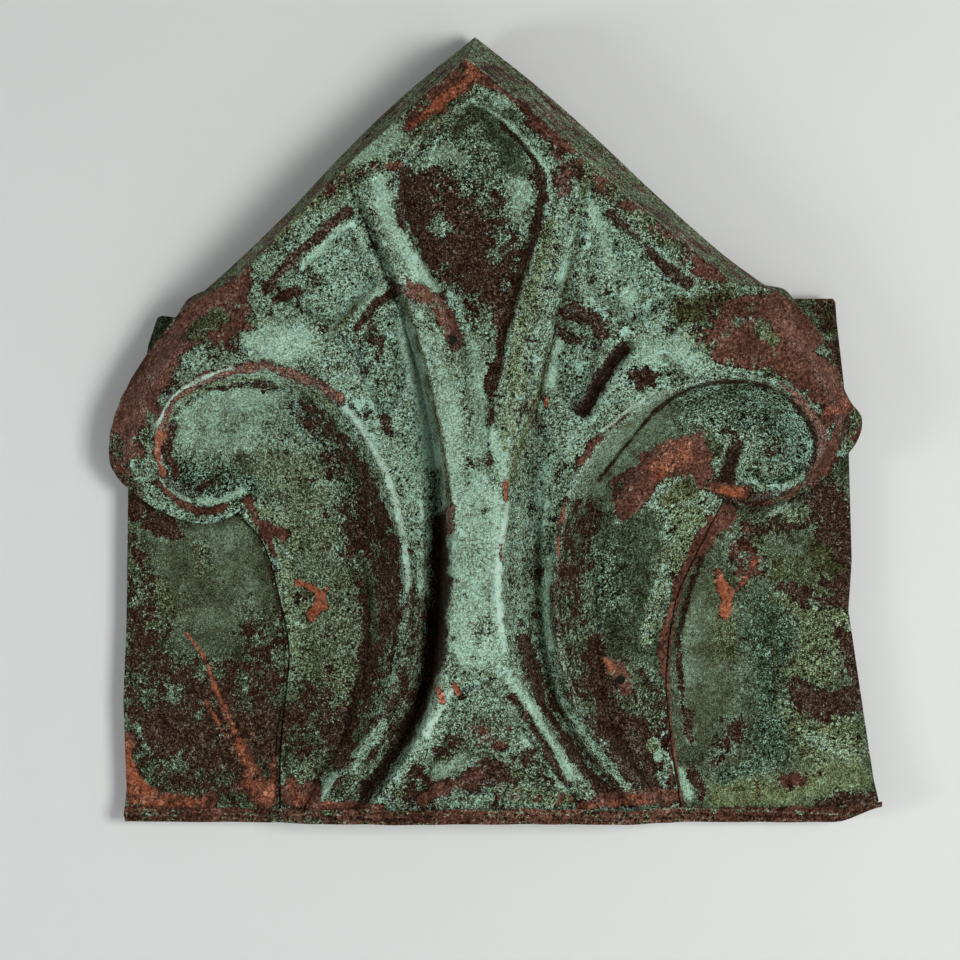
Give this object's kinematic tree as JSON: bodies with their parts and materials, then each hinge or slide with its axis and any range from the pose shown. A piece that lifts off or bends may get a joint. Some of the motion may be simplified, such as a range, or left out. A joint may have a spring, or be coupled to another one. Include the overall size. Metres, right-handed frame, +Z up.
{
  "type": "post cap ornament",
  "caption": "Pressed sheet copper gable front for a post or pier cap, with a fleur stalk between two scrolls on flat wing sheets, open at the back.",
  "frame": {"origin": "on the underside of the base ledge, below the stalk, where the flat wing sheets' back plane meets it", "axes": "+X to the viewer's right, +Y into the wall behind the cap, +Z up towards the gable's point"},
  "size_m": [0.4636, 0.0518, 0.471],
  "materials": {
    "pressed_copper": "copper under a crackled verdigris crust",
    "wing_copper": "copper under dark green and maroon patina",
    "raw_copper": "dull brown copper with worn bright edges",
    "solder": "dull solder stained with copper",
    "iron": "dark rusted iron"
  },
  "bodies": {
    "root": {"palmette_stalk": "pressed_copper", "foot_gusset": "pressed_copper", "scroll_left": "pressed_copper", "scroll_right": "pressed_copper", "leaf_left": "pressed_copper", "leaf_right": "pressed_copper", "wing_left": "wing_copper", "wing_right": "wing_copper", "rake_return_left": "raw_copper", "rake_return_right": "raw_copper", "shoulder_return_left": "raw_copper", "shoulder_return_right": "raw_copper", "base_flange": "raw_copper", "seam_bead_left": "solder", "seam_bead_right": "solder", "back_strap": "iron", "rivet_lap_left_upper": "raw_copper", "rivet_lap_left_lower": "raw_copper", "rivet_lap_right_upper": "raw_copper", "rivet_lap_right_lower": "raw_copper", "nail_leaf_left": "iron", "rivet_strap_1": "iron", "rivet_strap_2": "iron", "rivet_strap_3": "iron", "rivet_strap_4": "iron"}
  },
  "joints": []
}
